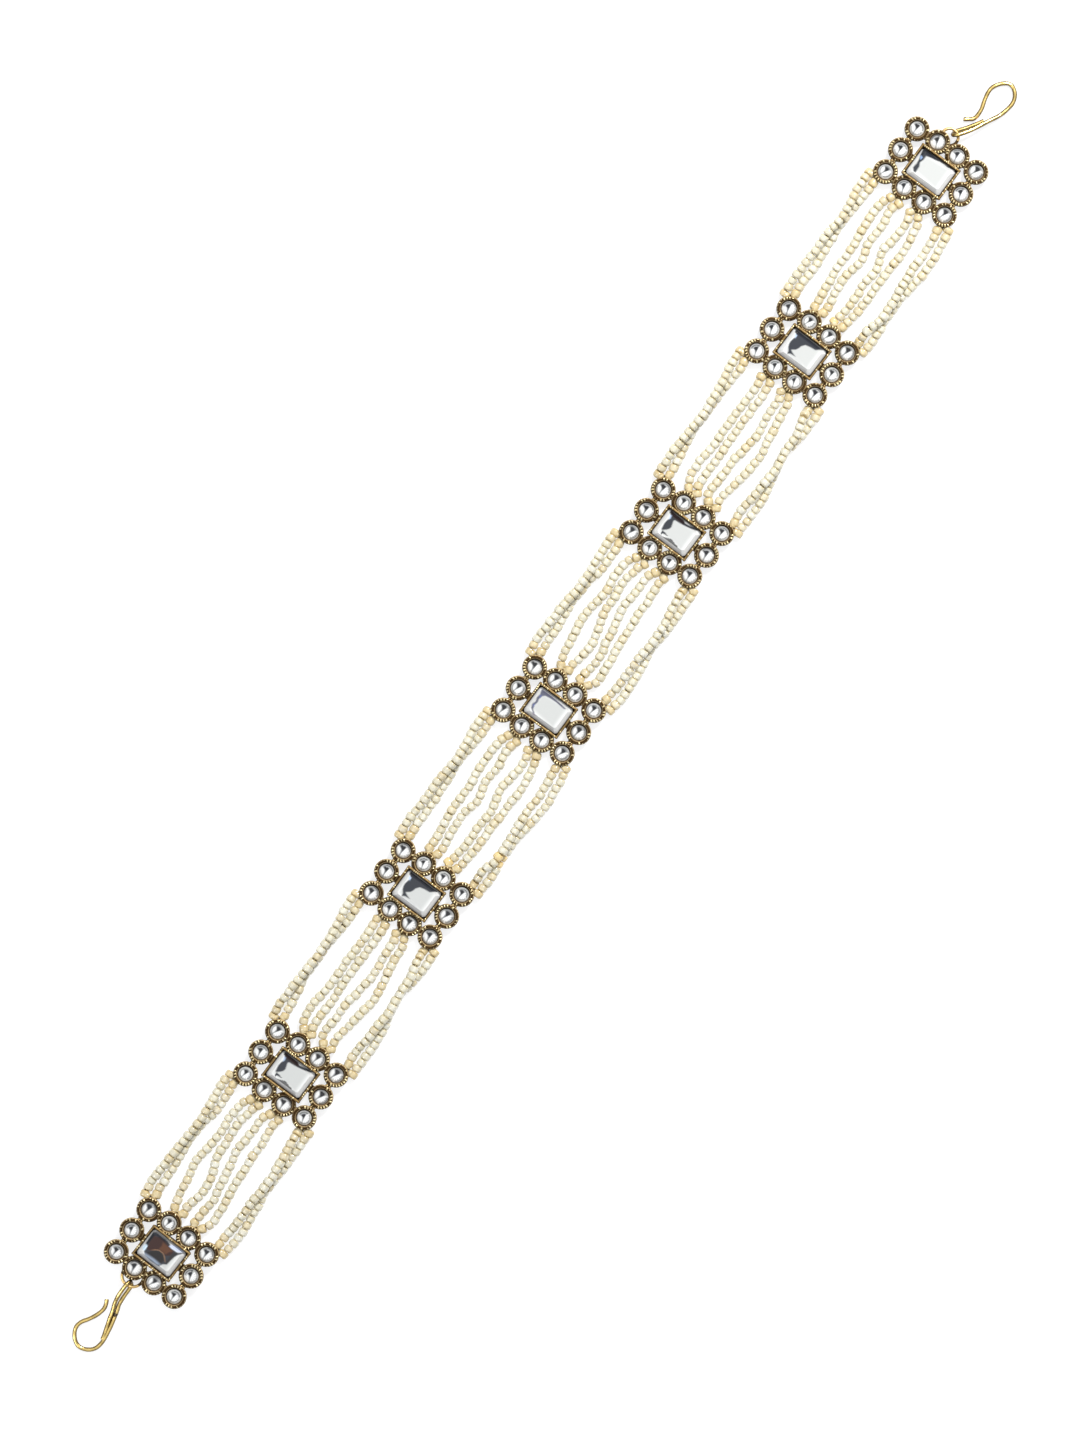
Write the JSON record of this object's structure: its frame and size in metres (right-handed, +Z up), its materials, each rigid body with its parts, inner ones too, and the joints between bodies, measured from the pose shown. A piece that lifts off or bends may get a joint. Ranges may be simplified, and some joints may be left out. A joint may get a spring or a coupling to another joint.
{
  "type": "matha patti",
  "caption": "Flat head chain of pierced, stone-set metal settings joined by looped strings of seed beads, with a wire hook at each end, lying face up.",
  "frame": {"origin": "centre of the middle setting's flat back, on the table that the chain lies on", "axes": "+X along the band towards the end with the folded single-wire hook, +Z up out of the stones' faces, +Y across the band"},
  "size_m": [0.3777, 0.0275, 0.0046],
  "materials": {
    "antique_gold": "antiqued gold-tone metal, bright on the rope-edged rims and near black in the recesses",
    "centre_stone": "clear foil-backed glass, oblong with bevelled edges and a flat table",
    "round_stone": "clear foil-backed glass, round, faceted",
    "seed_bead": "cream pearl-lustre glass seed beads on a thread",
    "hook_wire": "bright gold-plated wire"
  },
  "bodies": {
    "root": {"setting_1": "antique_gold", "setting_2": "antique_gold", "setting_3": "antique_gold", "setting_4": "antique_gold", "setting_5": "antique_gold", "setting_6": "antique_gold", "setting_7": "antique_gold", "centre_stone_1": "centre_stone", "centre_stone_2": "centre_stone", "centre_stone_3": "centre_stone", "centre_stone_4": "centre_stone", "centre_stone_5": "centre_stone", "centre_stone_6": "centre_stone", "centre_stone_7": "centre_stone", "round_stones_1": "round_stone", "round_stones_2": "round_stone", "round_stones_3": "round_stone", "round_stones_4": "round_stone", "round_stones_5": "round_stone", "round_stones_6": "round_stone", "round_stones_7": "round_stone", "bead_loop_1a": "seed_bead", "bead_loop_1b": "seed_bead", "bead_loop_1c": "seed_bead", "bead_loop_1d": "seed_bead", "bead_loop_2a": "seed_bead", "bead_loop_2b": "seed_bead", "bead_loop_2c": "seed_bead", "bead_loop_2d": "seed_bead", "bead_loop_3a": "seed_bead", "bead_loop_3b": "seed_bead", "bead_loop_3c": "seed_bead", "bead_loop_3d": "seed_bead", "bead_loop_4a": "seed_bead", "bead_loop_4b": "seed_bead", "bead_loop_4c": "seed_bead", "bead_loop_4d": "seed_bead", "bead_loop_5a": "seed_bead", "bead_loop_5b": "seed_bead", "bead_loop_5c": "seed_bead", "bead_loop_5d": "seed_bead", "bead_loop_6a": "seed_bead", "bead_loop_6b": "seed_bead", "bead_loop_6c": "seed_bead", "bead_loop_6d": "seed_bead", "hook_left": "hook_wire", "hook_right": "hook_wire"}
  },
  "joints": []
}
